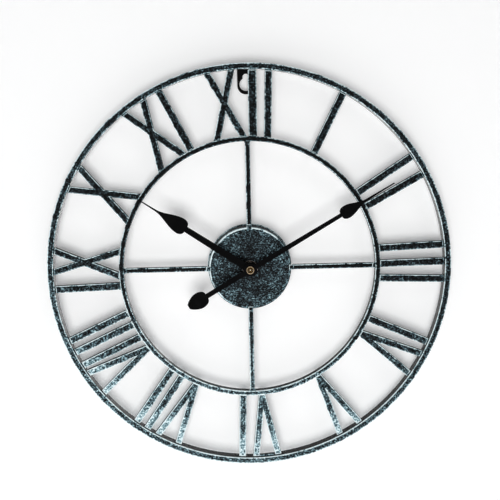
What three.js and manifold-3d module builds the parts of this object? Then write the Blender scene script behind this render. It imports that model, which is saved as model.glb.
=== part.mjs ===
// Open-frame metal wall clock with Roman numerals and a battery quartz movement.
// Millimetres, +Z up. The front faces -Y and the wall is the plane y = 0.
// The origin is the middle of the wall screw, at the top of the keyhole slot.
import * as THREE from "three";
import { mergeVertices } from "three/addons/utils/BufferGeometryUtils.js";
import Module from "manifold-3d";

const wasm = await Module();
wasm.setup();

// ---------- Driving dimensions ----------
const GAP = 0.3; // between pieces that touch, are welded, or run in each other
const TURN = 2 * Math.PI;

// Rings, rolled from channel that is open to the wall
const OUTER_RADIUS = 200;
const OUTER_WIDTH = 6;
const OUTER_DEPTH = 12.5;
const OUTER_SIDES = 72;
const INNER_RADIUS = 129.4;
const INNER_WIDTH = 4.8;
const INNER_DEPTH = 9;
const INNER_SIDES = 60;
const SHEET = 1; // sheet steel of the rings, the numerals and the cup

// Numerals, pressed channels between the rings
const NUMERAL_SETBACK = 2.5; // behind the front of the rings
const NUMERAL_DEPTH = 7.5;
const BAR_WIDTH = 7;
const LEG_WIDTH = 6.4; // the legs of V and X

// Spokes, solid bars from the cup to the inner ring
const SPOKE_WIDTH = 4.7;
const SPOKE_DEPTH = 7;
const SPOKE_SETBACK = 0.4;
const SPOKE_POINT = 1.6; // length of the pinched ends

// Keyhole hanger
const PLATE_HALF_WIDTH = 8.4;
const PLATE_THICKNESS = 1.2;
const KEYHOLE_RADIUS = 6.2;
const SLOT_HALF_WIDTH = 3.1;
const SLOT_LENGTH = 7.2; // from the middle of the round hole to the screw's seat
const KEYHOLE_RIM = 3.4; // metal below the round hole, from its edge
const SLOT_TOP_METAL = 3.8; // from the slot's end to the inside of the outer ring

// Movement, its battery and the hands' shafts
const BATTERY_LENGTH = 50.5;
const BATTERY_RADIUS = 7.25;
const BATTERY_PLAY = 0.5; // in the depth of the case
const CASE_WALL = 1.2;
const CASE_FLOOR = 1;
const CASE_CORNER = 4;
const ROOM_CORNER = 1.5; // inside the case
const TRAIN_ROOM = 11; // from the shaft down to the partition above the battery
const PARTITION_THICKNESS = 0.7;
const CONTACT_SPACE = 1.55; // at each end of the battery
const CONTACT_THICKNESS = 0.4;
const GASKET_THICKNESS = 1;
const BACK_SPACE = 3.4; // from the back of the movement to the wall
const CUP_CLEARANCE = 2; // from the corners of the movement to the cup
const CUP_EDGE_RADIUS = 1.6;
const CUP_BEAD = 1.3;
const CUP_BEAD_DEPTH = 1.6;
const CUP_SIDES = 48;
const SHAFT_LENGTH = 17; // from the face of the cup to the front of the minute nut
const BUSH_RADIUS = 4;
const HOUR_PIPE_RADIUS = 2.9;
const MINUTE_ARBOR_RADIUS = 1.9;
const SECONDS_ARBOR_RADIUS = 0.5;
const PIVOT_RADIUS = 0.6;
const WASHER_THICKNESS = 0.8;
const WASHER_RADIUS = 7.6;
const NUT_THICKNESS = 2.8;
const NUT_ACROSS_FLATS = 12;

// Hands, stamped from black sheet
const HAND_THICKNESS = 0.6;
const HAND_SPACING = 2.7; // between the two blades
const HOUR_HUB_RADIUS = 6.9;
const MINUTE_HUB_RADIUS = 6.4;
const MINUTE_NUT_RADIUS = 3.8;
const MINUTE_NUT_THICKNESS = 2.2;
const MINUTE_ANGLE = 60; // degrees clockwise from twelve
const HOUR_ANGLE = 303.5;

// Gear train: teeth and the distances between arbors
const CANNON_TEETH = 12;
const MOTION_TEETH = 36;
const MOTION_PINION_TEETH = 10;
const HOUR_TEETH = 40;
const CENTRE_TEETH = 60;
const THIRD_TEETH = 64;
const SECONDS_TEETH = 48;
const INTERMEDIATE_TEETH = 40;
const PINION_TEETH = 8;
const MOTION_DISTANCE = 11.6;
const THIRD_DISTANCE = 11.2;
const INTERMEDIATE_DISTANCE = 10.2;
const ROTOR_DISTANCE = 7.2;
const MOTION_ANGLE = 325;
const THIRD_ANGLE = 45;
const INTERMEDIATE_ANGLE = 270;
const WHEEL_THICKNESS = 0.8;

// Motor: the coil is wound on one leg of the stator, and the rotor turns in the other
const STATOR_HALF_WIDTH = 3.1; // of the leg about the rotor
const STATOR_WINDOW = 2.5; // between the two legs
const CORE_HALF_WIDTH = 1;
const COIL_RADIUS = 2.5;

// ---------- Places that follow from them ----------
// The case's room is as wide as the battery with its contacts, or as the motor needs, and high
// enough below the shaft for the train, the partition and the battery.
const coilDistance =
  INTERMEDIATE_DISTANCE + ROTOR_DISTANCE + STATOR_HALF_WIDTH + STATOR_WINDOW + CORE_HALF_WIDTH;
const roomHalfWidth = Math.max(
  BATTERY_LENGTH / 2 + CONTACT_SPACE,
  coilDistance + COIL_RADIUS + GAP,
);
const roomHalfHeight = TRAIN_ROOM + PARTITION_THICKNESS + 2 * BATTERY_RADIUS + 2 * GAP;
const caseHalfWidth = roomHalfWidth + CASE_WALL;
const caseHalfHeight = roomHalfHeight + CASE_WALL;
const caseDepth = CASE_FLOOR + 2 * BATTERY_RADIUS + BATTERY_PLAY;
const cupInnerRadius =
  Math.hypot(caseHalfWidth - CASE_CORNER, caseHalfHeight - CASE_CORNER) +
  CASE_CORNER + CUP_CLEARANCE;
const cupRadius = cupInnerRadius + SHEET;
const caseBack = -BACK_SPACE;
const caseFront = caseBack - caseDepth;
const roomFront = caseFront + CASE_FLOOR;
const cupFace = caseFront - GASKET_THICKNESS - 2 * GAP - SHEET;
const outerInside = OUTER_RADIUS - OUTER_WIDTH;
const innerInside = INNER_RADIUS - INNER_WIDTH;
const ringBack = cupFace + OUTER_DEPTH;
const dialDrop = outerInside - SLOT_TOP_METAL - SLOT_HALF_WIDTH;

// ---------- Geometry helpers ----------
const radians = (degrees) => (degrees * Math.PI) / 180;

// A point of the dial, by its radius and its angle clockwise from twelve.
function dialPoint(radius, degrees) {
  const a = radians(degrees);
  return new THREE.Vector2(radius * Math.sin(a), radius * Math.cos(a));
}

// How far the middle of a side lies inside the corners of a many-sided round.
const chordLoss = (radius, sides) => radius * (1 - Math.cos(Math.PI / sides));

// A shape of the dial plane made solid, between two depths (front < back).
function slab(shape, front, back, curveSegments = 6) {
  const options = { depth: back - front, bevelEnabled: false, curveSegments };
  return new THREE.ExtrudeGeometry(shape, options)
    .rotateX(Math.PI / 2)
    .translate(0, back, 0);
}

// A solid turned about the dial's axis, from radius and depth pairs.
// The profile closes on itself where it doesn't start and end on the axis.
function turned(profile, sides = 24) {
  const points = profile.map(([radius, depth]) => new THREE.Vector2(radius, depth));
  const onAxis = points[0].x === 0 && points.at(-1).x === 0;
  if (!onAxis) {
    points.push(points[0].clone());
  }
  let doubled = 0;
  points.forEach((p, i) => {
    const next = points[(i + 1) % points.length];
    doubled += p.x * next.y - next.x * p.y;
  });
  if (doubled < 0) {
    points.reverse();
  }
  return new THREE.LatheGeometry(points, sides);
}

const tube = (inner, outer, front, back, sides) =>
  turned([[inner, front], [outer, front], [outer, back], [inner, back]], sides);
const rod = (radius, front, back, sides = 12) =>
  turned([[0, front], [radius, front], [radius, back], [0, back]], sides);

function box(width, depth, height, x, y, z) {
  return new THREE.BoxGeometry(width, depth, height).translate(x, y, z);
}

function solidOf(geometry) {
  const bare = geometry.clone();
  bare.deleteAttribute("normal");
  bare.deleteAttribute("uv");
  const merged = mergeVertices(bare, 1e-4);
  return new wasm.Manifold(
    new wasm.Mesh({
      numProp: 3,
      vertProperties: merged.attributes.position.array,
      triVerts: new Uint32Array(merged.index.array),
    }),
  );
}

function geometryOf(solid) {
  const { vertProperties, triVerts } = solid.getMesh();
  const geometry = new THREE.BufferGeometry();
  geometry.setAttribute("position", new THREE.BufferAttribute(vertProperties, 3));
  geometry.setIndex(new THREE.BufferAttribute(triVerts, 1));
  return geometry;
}

const joined = (...geometries) =>
  geometryOf(geometries.map(solidOf).reduce((all, next) => all.add(next)));
const cut = (geometry, ...tools) =>
  geometryOf(tools.map(solidOf).reduce((all, next) => all.subtract(next), solidOf(geometry)));

// ---------- Materials ----------
const material = (color, roughness, metalness) => () =>
  new THREE.MeshStandardMaterial({ color, roughness, metalness });
const antiqueSteel = material(0x3c474c, 0.5, 0.7);
const blackSteel = material(0x0b0c0e, 0.5, 0.4);
const brass = material(0xc39a5a, 0.3, 1);
const steel = material(0xb4b7ba, 0.35, 1);
const copper = material(0xb46a3c, 0.4, 0.9);
const blackPlastic = material(0x17181a, 0.55, 0);
const whitePlastic = material(0xe6e4dc, 0.5, 0);
const boardGreen = material(0x2c5a3a, 0.5, 0);
const rubber = material(0x1b1b1b, 0.9, 0);
const batteryWrap = material(0x2d3a45, 0.35, 0.3);

const clock = new THREE.Group();
const dial = new THREE.Group();
dial.position.z = -dialDrop;
clock.add(dial);

function add(name, geometry, makeMaterial, parent = dial) {
  const mesh = new THREE.Mesh(geometry, makeMaterial());
  mesh.name = name;
  parent.add(mesh);
  return mesh;
}

// ---------- Rings ----------
function channelRing(radius, width, depth, sides) {
  const inside = radius - width;
  const back = cupFace + depth;
  return turned(
    [
      [radius, cupFace],
      [radius, back],
      [radius - SHEET, back],
      [radius - SHEET, cupFace + SHEET],
      [inside + SHEET, cupFace + SHEET],
      [inside + SHEET, back],
      [inside, back],
      [inside, cupFace],
    ],
    sides,
  );
}

add("outer_ring", channelRing(OUTER_RADIUS, OUTER_WIDTH, OUTER_DEPTH, OUTER_SIDES), antiqueSteel);
add("inner_ring", channelRing(INNER_RADIUS, INNER_WIDTH, INNER_DEPTH, INNER_SIDES), antiqueSteel);

// ---------- Numerals ----------
// Each stroke runs from its foot, at the inner ring, to its head, at the outer ring.
const footRadius = INNER_RADIUS + GAP;
const headRadius = outerInside - chordLoss(outerInside, OUTER_SIDES) - GAP;
const numeralFront = cupFace + NUMERAL_SETBACK;
const numeralBack = numeralFront + NUMERAL_DEPTH;

// Where a line through p, along d, meets the circle of that radius about the dial's axis.
function meetCircle(p, d, radius) {
  const along = p.dot(d);
  const reach = Math.sqrt(along * along - p.lengthSq() + radius * radius);
  return p.clone().addScaledVector(d, reach - along);
}

// Where the line through a along u meets the line through b along v.
function meetLine(a, u, b, v) {
  const k = new THREE.Vector2().subVectors(b, a).cross(v) / u.cross(v);
  return a.clone().addScaledVector(u, k);
}

// One straight stroke about the twelve o'clock line: its two edges as rays, and its corners.
function stroke(foot, head, width) {
  const low = new THREE.Vector2(foot, Math.sqrt(footRadius ** 2 - foot ** 2));
  const high = new THREE.Vector2(head, Math.sqrt(headRadius ** 2 - head ** 2));
  const along = high.clone().sub(low).normalize();
  const across = new THREE.Vector2(along.y, -along.x).multiplyScalar(width / 2);
  const left = low.clone().sub(across);
  const right = low.clone().add(across);
  return {
    along,
    left,
    right,
    footLeft: meetCircle(left, along, footRadius),
    footRight: meetCircle(right, along, footRadius),
    headLeft: meetCircle(left, along, headRadius),
    headRight: meetCircle(right, along, headRadius),
  };
}

function barOutline([foot, head, width = BAR_WIDTH]) {
  const s = stroke(foot, head, width);
  return [s.footLeft, s.footRight, s.headRight, s.headLeft];
}

// V: two legs whose feet share one place at the inner ring.
function veeOutline([foot, leftHead, rightHead]) {
  const a = stroke(foot, leftHead, LEG_WIDTH);
  const b = stroke(foot, rightHead, LEG_WIDTH);
  const notch = meetLine(a.right, a.along, b.left, b.along);
  return [a.footLeft, b.footRight, b.headRight, b.headLeft, notch, a.headRight, a.headLeft];
}

// X: one leg from the left head to the right foot, the other from the left foot to the right head.
function crossOutline([leftHead, rightFoot, leftFoot, rightHead]) {
  const a = stroke(rightFoot, leftHead, LEG_WIDTH);
  const b = stroke(leftFoot, rightHead, LEG_WIDTH);
  const low = meetLine(a.left, a.along, b.right, b.along);
  const right = meetLine(a.right, a.along, b.right, b.along);
  const high = meetLine(a.right, a.along, b.left, b.along);
  const left = meetLine(a.left, a.along, b.left, b.along);
  return [
    b.footLeft, b.footRight, low, a.footLeft, a.footRight, right,
    b.headRight, b.headLeft, high, a.headRight, a.headLeft, left,
  ];
}

// The outline moved inwards by a wall's thickness; the points run anticlockwise.
function inset(points, wall) {
  const edges = points.map((p, i) => {
    const u = points[(i + 1) % points.length].clone().sub(p).normalize();
    const start = p.clone().add(new THREE.Vector2(-u.y, u.x).multiplyScalar(wall));
    return { start, u };
  });
  return edges.map((edge, i) => {
    const last = edges.at(i - 1);
    return meetLine(last.start, last.u, edge.start, edge.u);
  });
}

function pressedChannel(outline) {
  const outside = slab(new THREE.Shape(outline), numeralFront, numeralBack);
  const hollow = new THREE.Shape(inset(outline, SHEET));
  return cut(outside, slab(hollow, numeralFront + SHEET, numeralBack + SHEET));
}

// Offsets of each stroke, across the numeral, from the line of its hour. They are set by hand,
// so no two numerals are spaced alike. A bar is [foot, head] with its own width if it has one, a
// vee is [foot, left and right head], and a cross is [left head, right foot, left foot, right head].
const NUMERALS = [
  { name: "I", bars: [[0.5, -3]] },
  { name: "II", bars: [[-8.5, -11.5], [7.5, 9]] },
  { name: "III", bars: [[-16.5, -19], [-1, -2], [13.5, 15.5]] },
  { name: "IV", bars: [[-12, -19.5]], vee: [5, -6, 17.5] },
  { name: "V", vee: [-1.5, -13, 10] },
  { name: "VI", vee: [-9.5, -25, -2.5], bars: [[9.5, 11.5]] },
  { name: "VII", vee: [-9.5, -23, -0.5], bars: [[7, 12], [18.5, 24.5]] },
  { name: "VIII", vee: [-16.5, -32, -7], bars: [[-3, 2.5], [11.5, 17.5], [24, 30]] },
  { name: "IX", bars: [[-15.5, -17.5]], cross: [0, 19, -5.5, 21] },
  { name: "X", cross: [-17.5, 9, -17, 6] },
  { name: "XI", cross: [-26, 2, -24.5, -4], bars: [[10.8, 13.5]] },
  { name: "XII", cross: [-37.5, -4, -29.5, -14.5], bars: [[5.6, 6.1, 8.2], [20, 22]] },
];

NUMERALS.forEach(({ name, bars = [], vee, cross }, index) => {
  const hour = new THREE.Group();
  hour.rotation.y = radians(30 * (index + 1));
  dial.add(hour);
  if (vee) {
    add(`numeral_${name}_vee`, pressedChannel(veeOutline(vee)), antiqueSteel, hour);
  }
  if (cross) {
    add(`numeral_${name}_cross`, pressedChannel(crossOutline(cross)), antiqueSteel, hour);
  }
  bars.forEach((bar, i) => {
    add(`numeral_${name}_bar_${i + 1}`, pressedChannel(barOutline(bar)), antiqueSteel, hour);
  });
});

// ---------- Spokes and cup ----------
function spoke() {
  const start = cupRadius + GAP;
  const end = innerInside - chordLoss(innerInside, INNER_SIDES) - GAP;
  const half = SPOKE_WIDTH / 2;
  const tip = half / 2;
  const outline = [
    [-tip, start], [tip, start], [half, start + SPOKE_POINT], [half, end - SPOKE_POINT],
    [tip, end], [-tip, end], [-half, end - SPOKE_POINT], [-half, start + SPOKE_POINT],
  ];
  const shape = new THREE.Shape(outline.map(([x, y]) => new THREE.Vector2(x, y)));
  const front = cupFace + SPOKE_SETBACK;
  return slab(shape, front, front + SPOKE_DEPTH);
}

["top", "right", "bottom", "left"].forEach((side, i) => {
  add(`spoke_${side}`, spoke(), antiqueSteel).rotation.y = radians(90 * i);
});

// A round-edged dish, open to the wall, with a beaded rim that rests on it.
function cup() {
  const hole = BUSH_RADIUS + GAP;
  const edge = [];
  for (let i = 0; i <= 3; i++) {
    const a = (i / 3) * (Math.PI / 2);
    edge.push([
      cupRadius - CUP_EDGE_RADIUS * (1 - Math.sin(a)),
      cupFace + CUP_EDGE_RADIUS * (1 - Math.cos(a)),
    ]);
  }
  return turned(
    [
      [hole, cupFace],
      ...edge,
      [cupRadius, -CUP_BEAD_DEPTH],
      [cupRadius + CUP_BEAD, -CUP_BEAD_DEPTH],
      [cupRadius + CUP_BEAD, 0],
      [cupInnerRadius, 0],
      [cupInnerRadius, cupFace + CUP_EDGE_RADIUS],
      [cupRadius - CUP_EDGE_RADIUS, cupFace + SHEET],
      [hole, cupFace + SHEET],
    ],
    CUP_SIDES,
  );
}

add("centre_cup", cup(), antiqueSteel);

// ---------- Keyhole hanger ----------
// Welded across the back of the outer ring; its slot's seat is the origin.
function hangerPlate() {
  const top = OUTER_RADIUS - SHEET - dialDrop;
  const bottom = -SLOT_LENGTH - KEYHOLE_RADIUS - KEYHOLE_RIM + PLATE_HALF_WIDTH;
  const plate = new THREE.Shape();
  plate.moveTo(PLATE_HALF_WIDTH, top);
  plate.lineTo(-PLATE_HALF_WIDTH, top);
  plate.lineTo(-PLATE_HALF_WIDTH, bottom);
  plate.absarc(0, bottom, PLATE_HALF_WIDTH, Math.PI, TURN, false);
  const entry = Math.asin(SLOT_HALF_WIDTH / KEYHOLE_RADIUS);
  const keyhole = new THREE.Path();
  const start = Math.PI / 2 + entry;
  keyhole.absarc(0, -SLOT_LENGTH, KEYHOLE_RADIUS, start, start + TURN - 2 * entry, false);
  keyhole.absarc(0, 0, SLOT_HALF_WIDTH, 0, Math.PI, false);
  keyhole.closePath();
  plate.holes.push(keyhole);
  const front = ringBack + GAP;
  return slab(plate, front, front + PLATE_THICKNESS, 16);
}

add("hanger_plate", hangerPlate(), blackSteel, clock);

// ---------- Hands ----------
const nutFront = cupFace - SHAFT_LENGTH;
const nutBack = nutFront + MINUTE_NUT_THICKNESS;
const minuteFront = nutBack + GAP;
const minuteBack = minuteFront + HAND_THICKNESS;
const hourFront = minuteBack + HAND_SPACING;
const hourBack = hourFront + HAND_THICKNESS;

// A spade hand along twelve o'clock: a straight shaft, a round-shouldered spade and a long point.
function spadeHand({ hubWidth, shaftWidth, shoulder, spadeWidth, belly, neck, pointWidth, tip }) {
  const shape = new THREE.Shape();
  const half = spadeWidth / 2;
  const point = pointWidth / 2;
  const rise = (belly - shoulder) / 2;
  const third = (neck - belly) / 3;
  shape.moveTo(-hubWidth / 2, 0);
  shape.lineTo(hubWidth / 2, 0);
  shape.lineTo(shaftWidth / 2, shoulder);
  shape.bezierCurveTo(half * 0.8, shoulder, half, belly - rise, half, belly);
  shape.bezierCurveTo(half, belly + third, point, neck - third, point, neck);
  shape.lineTo(point / 2, tip);
  shape.lineTo(-point / 2, tip);
  shape.lineTo(-point, neck);
  shape.bezierCurveTo(-point, neck - third, -half, belly + third, -half, belly);
  shape.bezierCurveTo(-half, belly - rise, -half * 0.8, shoulder, -shaftWidth / 2, shoulder);
  shape.closePath();
  return shape;
}

// The minute hand's counterweight, below the hub: a stem and a drop with a blunt point.
function dropTail({ stemWidth, shoulder, width, belly, end }) {
  const half = width / 2;
  const blunt = width / 8;
  const shape = new THREE.Shape();
  shape.moveTo(-stemWidth / 2, 0);
  shape.lineTo(-stemWidth / 2, -shoulder);
  shape.bezierCurveTo(-half * 0.8, -shoulder, -half, -belly + 4, -half, -belly);
  shape.bezierCurveTo(-half, -belly - 5, -blunt * 2, -end + 1, -blunt, -end);
  shape.lineTo(blunt, -end);
  shape.bezierCurveTo(blunt * 2, -end + 1, half, -belly - 5, half, -belly);
  shape.bezierCurveTo(half, -belly + 4, half * 0.8, -shoulder, stemWidth / 2, -shoulder);
  shape.lineTo(stemWidth / 2, 0);
  shape.closePath();
  return shape;
}

const HOUR_BLADE = {
  hubWidth: 7.4, shaftWidth: 5.8, shoulder: 74, spadeWidth: 16,
  belly: 80.5, neck: 109, pointWidth: 1.8, tip: 128,
};
const MINUTE_BLADE = {
  hubWidth: 5.4, shaftWidth: 3.9, shoulder: 103, spadeWidth: 13,
  belly: 109.5, neck: 131, pointWidth: 2.2, tip: 163,
};
const MINUTE_TAIL = { stemWidth: 4.9, shoulder: 49.5, width: 16.2, belly: 58, end: 70.3 };
const HUB_SIDES = 48;
const OUTLINE_STEPS = 14; // in each curve of a blade
const COLLET_LENGTH = 2.8;
const COLLET_WALL = 1.2;

function hourHand() {
  const bore = HOUR_PIPE_RADIUS + GAP;
  const hub = tube(bore, HOUR_HUB_RADIUS, hourFront, hourBack, HUB_SIDES);
  const collet = tube(bore, bore + COLLET_WALL, hourFront, hourBack + COLLET_LENGTH);
  const blade = slab(spadeHand(HOUR_BLADE), hourFront, hourBack, OUTLINE_STEPS);
  const clearHub = rod(bore + COLLET_WALL / 2, hourFront - 1, hourBack + 1, 24);
  return joined(cut(blade, clearHub), hub, collet);
}

function minuteHand() {
  const bore = MINUTE_ARBOR_RADIUS + GAP;
  const hub = tube(bore, MINUTE_HUB_RADIUS, minuteFront, minuteBack, HUB_SIDES);
  const blade = slab(spadeHand(MINUTE_BLADE), minuteFront, minuteBack, OUTLINE_STEPS);
  const tail = slab(dropTail(MINUTE_TAIL), minuteFront, minuteBack, OUTLINE_STEPS);
  const clearHub = rod(bore + 1, minuteFront - 1, minuteBack + 1, 24);
  return joined(cut(joined(blade, tail), clearHub), hub);
}

add("hour_hand", hourHand(), blackSteel).rotation.y = radians(HOUR_ANGLE);
add("minute_hand", minuteHand(), blackSteel).rotation.y = radians(MINUTE_ANGLE);

// The minute nut is dished, so that the end of the arbor shows inside it.
const NUT_DISH_RADIUS = 2.5;
const NUT_DISH_DEPTH = 1;
const NUT_BEVEL = 0.5;
const minuteNut = turned([
  [MINUTE_ARBOR_RADIUS + GAP, nutBack],
  [MINUTE_NUT_RADIUS, nutBack],
  [MINUTE_NUT_RADIUS, nutFront + NUT_BEVEL],
  [MINUTE_NUT_RADIUS - NUT_BEVEL, nutFront],
  [NUT_DISH_RADIUS, nutFront],
  [MINUTE_ARBOR_RADIUS + GAP, nutFront + NUT_DISH_DEPTH],
]);
add("minute_nut", minuteNut, brass);

// ---------- Fixings of the movement ----------
const washerFront = cupFace - GAP - WASHER_THICKNESS;
const washer = tube(BUSH_RADIUS + GAP, WASHER_RADIUS, washerFront, cupFace - GAP);
add("mounting_washer", washer, brass);

function hexShape(acrossFlats, holeRadius) {
  const corner = acrossFlats / Math.sqrt(3);
  const corners = [0, 60, 120, 180, 240, 300].map((a) => dialPoint(corner, -a));
  const shape = new THREE.Shape(corners);
  shape.holes.push(new THREE.Path().absarc(0, 0, holeRadius, 0, TURN, true));
  return shape;
}

const hexFront = washerFront - GAP - NUT_THICKNESS;
const hexNut = slab(hexShape(NUT_ACROSS_FLATS, BUSH_RADIUS + GAP), hexFront, washerFront - GAP, 12);
add("mounting_nut", hexNut, brass);

const gasketBack = caseFront - GAP;
const GASKET_RADIUS = 14;
const gasket = tube(BUSH_RADIUS + GAP, GASKET_RADIUS, gasketBack - GASKET_THICKNESS, gasketBack);
add("rubber_gasket", gasket, rubber);

// ---------- Movement case, cover and battery ----------
function roundedRectangle(half, top, corner, bottom = -top) {
  const shape = new THREE.Shape();
  shape.moveTo(-half + corner, bottom);
  shape.lineTo(half - corner, bottom);
  shape.absarc(half - corner, bottom + corner, corner, -Math.PI / 2, 0, false);
  shape.lineTo(half, top - corner);
  shape.absarc(half - corner, top - corner, corner, 0, Math.PI / 2, false);
  shape.lineTo(-half + corner, top);
  shape.absarc(-half + corner, top - corner, corner, Math.PI / 2, Math.PI, false);
  shape.lineTo(-half, bottom + corner);
  shape.absarc(-half + corner, bottom + corner, corner, Math.PI, Math.PI * 1.5, false);
  return shape;
}

const bushFront = hourBack + COLLET_LENGTH + GAP;
const partitionHigh = -TRAIN_ROOM;
const partitionLow = partitionHigh - PARTITION_THICKNESS;
const batteryHeight = partitionLow - GAP - BATTERY_RADIUS;
const batteryDepth = roomFront + GAP + BATTERY_RADIUS;
const BOARD = { left: 10.8, right: roomHalfWidth - 0.4, low: -8, high: 20, thickness: 0.8 };
const POST_RADIUS = 1.5;
const POST_FROM_EDGE = 2.5;

// Depths of the train, counted back from the inside of the case's front.
const LAYER = {
  hour: 1, motion: 3, centre: 5, third: 7, plate: 8.2, board: 9.4, seconds: 9.4, intermediate: 11.2,
};
const layerFront = (layer) => roomFront + LAYER[layer];
const layerBack = (layer) => layerFront(layer) + WHEEL_THICKNESS;
const COVER_THICKNESS = 1;
const coverFront = caseBack - COVER_THICKNESS;
const boardFront = layerFront("board");

function post(x, z, back) {
  return rod(POST_RADIUS, roomFront - CASE_FLOOR / 2, back, 10).translate(x, 0, z);
}

function movementCase() {
  const shell = slab(
    roundedRectangle(caseHalfWidth, caseHalfHeight, CASE_CORNER), caseFront, caseBack, 3);
  const room = slab(
    roundedRectangle(roomHalfWidth, roomHalfHeight, ROOM_CORNER), roomFront, caseBack + 1, 3);
  const bush = rod(BUSH_RADIUS, bushFront, caseFront + CASE_FLOOR / 2, 24);
  const bore = rod(HOUR_PIPE_RADIUS + 0.4, bushFront - 1, roomFront + 1, 24);
  const partition = box(
    2 * roomHalfWidth + CASE_WALL, caseDepth - CASE_FLOOR / 2, PARTITION_THICKNESS,
    0, caseFront + CASE_FLOOR / 2 + (caseDepth - CASE_FLOOR / 2) / 2,
    (partitionLow + partitionHigh) / 2,
  );
  const postX = BOARD.right - POST_FROM_EDGE;
  const posts = [BOARD.low, BOARD.high].map((z) =>
    post(postX, z - Math.sign(z) * POST_FROM_EDGE, boardFront - GAP));
  return cut(joined(cut(shell, room), bush, partition, ...posts), bore);
}

// The train's places, as points of the dial plane.
const motionAt = dialPoint(MOTION_DISTANCE, MOTION_ANGLE);
const thirdAt = dialPoint(THIRD_DISTANCE, THIRD_ANGLE);
const intermediateAt = dialPoint(INTERMEDIATE_DISTANCE, INTERMEDIATE_ANGLE);
const rotorAt = dialPoint(INTERMEDIATE_DISTANCE + ROTOR_DISTANCE, INTERMEDIATE_ANGLE);
const KNOB_ARBOR_RADIUS = 0.75;

// The back cover closes the gear room and leaves the battery bay open.
function movementCover() {
  const shape = roundedRectangle(
    roomHalfWidth - GAP, roomHalfHeight - GAP, ROOM_CORNER, partitionHigh + GAP);
  shape.holes.push(
    new THREE.Path().absarc(motionAt.x, motionAt.y, KNOB_ARBOR_RADIUS + GAP, 0, TURN, true),
  );
  return slab(shape, coverFront, caseBack, 4);
}

add("movement_case", movementCase(), blackPlastic);
add("movement_cover", movementCover(), blackPlastic);

// A single round cell lying across the bottom of the case, its raised end to the right.
const BATTERY_BUTTON_RADIUS = 2.75;
const BATTERY_BUTTON_LENGTH = 1;
function battery() {
  const half = BATTERY_LENGTH / 2;
  const shoulder = half - BATTERY_BUTTON_LENGTH;
  const profile = [
    [0, -half], [BATTERY_RADIUS, -half], [BATTERY_RADIUS, shoulder],
    [BATTERY_BUTTON_RADIUS, shoulder], [BATTERY_BUTTON_RADIUS, half], [0, half],
  ];
  return turned(profile, 20).rotateZ(-Math.PI / 2).translate(0, batteryDepth, batteryHeight);
}
add("battery", battery(), batteryWrap);

// Spring strips in slots at the ends of the battery bay, each with a raised contact.
function batteryContact(side) {
  const outside = roomHalfWidth - GAP;
  const middle = outside - CONTACT_THICKNESS / 2;
  const size = 1.4 * BATTERY_RADIUS;
  const strip = box(CONTACT_THICKNESS, size, size, side * middle, batteryDepth, batteryHeight);
  const tip = BATTERY_LENGTH / 2 + GAP;
  const bump = turned([
    [0, tip], [1.2, tip], [2.4, middle], [0, middle],
  ], 10).rotateZ(-side * Math.PI / 2).translate(0, batteryDepth, batteryHeight);
  return joined(strip, bump);
}
add("battery_contact_positive", batteryContact(1), steel);
add("battery_contact_negative", batteryContact(-1), steel);

// ---------- Gear train ----------
const ADDENDUM = 0.75;
const DEDENDUM = 1.1;
const ROOT_SHARE = 0.25; // half a tooth at its root, as a share of the pitch
const TIP_SHARE = 0.09;

// A wheel's teeth, with one tooth, or one gap, towards the given angle of the dial.
function toothed(teeth, module, towards, gapTowards = false) {
  const pitch = 360 / teeth;
  const first = towards + (gapTowards ? pitch / 2 : 0);
  const root = module * (teeth / 2 - DEDENDUM);
  const tip = module * (teeth / 2 + ADDENDUM);
  const points = [];
  for (let i = teeth; i > 0; i--) {
    const middle = first + i * pitch;
    points.push(
      dialPoint(root, middle + ROOT_SHARE * pitch),
      dialPoint(tip, middle + TIP_SHARE * pitch),
      dialPoint(tip, middle - TIP_SHARE * pitch),
      dialPoint(root, middle - ROOT_SHARE * pitch),
    );
  }
  return new THREE.Shape(points);
}

const gear = (layer, teeth, module, towards, gapTowards) =>
  slab(toothed(teeth, module, towards, gapTowards), layerFront(layer), layerBack(layer));
const moduleOf = (distance, teethA, teethB) => (2 * distance) / (teethA + teethB);

const motionModule = moduleOf(MOTION_DISTANCE, CANNON_TEETH, MOTION_TEETH);
const hourModule = moduleOf(MOTION_DISTANCE, MOTION_PINION_TEETH, HOUR_TEETH);
const centreModule = moduleOf(THIRD_DISTANCE, CENTRE_TEETH, PINION_TEETH);
const thirdModule = moduleOf(THIRD_DISTANCE, THIRD_TEETH, PINION_TEETH);
const secondsModule = moduleOf(INTERMEDIATE_DISTANCE, SECONDS_TEETH, PINION_TEETH);
const rotorModule = moduleOf(ROTOR_DISTANCE, INTERMEDIATE_TEETH, PINION_TEETH);
const arborEnd = coverFront - GAP;

function at(place, geometry) {
  return geometry.translate(place.x, 0, place.y);
}

// Hour wheel with the pipe that carries the hour hand, clear of the minute arbor inside it.
const HOUR_PIPE_BORE = MINUTE_ARBOR_RADIUS + GAP;
const hourWheel = cut(
  joined(
    gear("hour", HOUR_TEETH, hourModule, MOTION_ANGLE),
    rod(HOUR_PIPE_RADIUS, hourFront - 2 * GAP, layerBack("hour"), 24),
  ),
  rod(HOUR_PIPE_BORE, hourFront - 2, layerBack("hour") + 1, 24),
);
add("hour_wheel", hourWheel, whitePlastic);

// Motion wheel and its pinion, which bring the minute arbor's turn down to the hour wheel.
const motionWheel = at(motionAt, joined(
  gear("motion", MOTION_TEETH, motionModule, MOTION_ANGLE + 180),
  gear("hour", MOTION_PINION_TEETH, hourModule, MOTION_ANGLE + 180, true),
  rod(KNOB_ARBOR_RADIUS, roomFront + GAP, caseBack + 2, 10),
));
add("motion_wheel", motionWheel, whitePlastic);

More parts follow.
